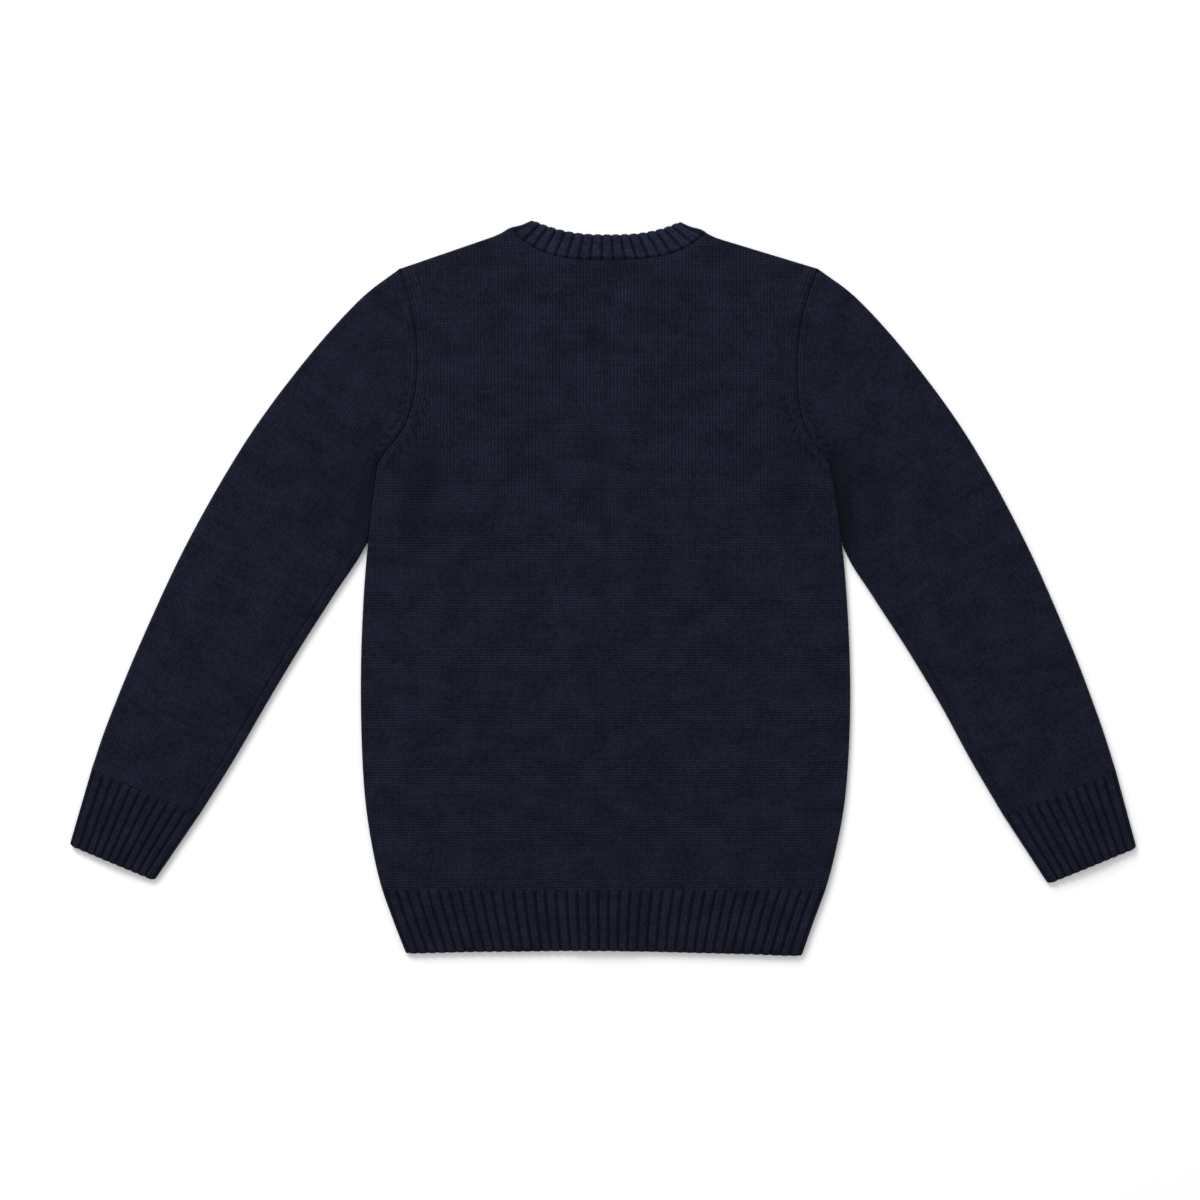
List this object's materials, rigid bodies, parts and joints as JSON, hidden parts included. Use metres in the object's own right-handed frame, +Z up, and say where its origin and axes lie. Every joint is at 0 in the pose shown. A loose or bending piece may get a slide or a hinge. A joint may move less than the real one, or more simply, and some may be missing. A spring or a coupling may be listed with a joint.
{
  "type": "v-neck cardigan",
  "caption": "Plain navy v-neck cardigan laid flat on its front with the sleeves spread, with ribbed cuffs, hem and neckband and a buttoned front.",
  "frame": {"origin": "centre of the laid garment's outline, on the surface it lies on", "axes": "+Z up from the surface, towards the back of the garment; +Y from the hem to the neck; +X from the left sleeve to the right sleeve"},
  "size_m": [1.064, 0.7326, 0.0098],
  "materials": {
    "navy_knit": "matte plain cotton knit",
    "navy_rib": "matte ribbed cotton knit",
    "button_horn": "polished dark horn"
  },
  "bodies": {
    "root": {"back": "navy_knit", "front_left": "navy_knit", "front_right": "navy_knit", "sleeve_left": "navy_knit", "sleeve_right": "navy_knit", "cuff_left": "navy_rib", "cuff_right": "navy_rib", "hem_back": "navy_rib", "hem_front_left": "navy_rib", "hem_front_right": "navy_rib", "neckband_back": "navy_rib", "band_left": "navy_rib", "band_right": "navy_rib", "button_1": "button_horn", "button_2": "button_horn", "button_3": "button_horn", "button_4": "button_horn", "button_5": "button_horn", "button_6": "button_horn"}
  },
  "joints": []
}
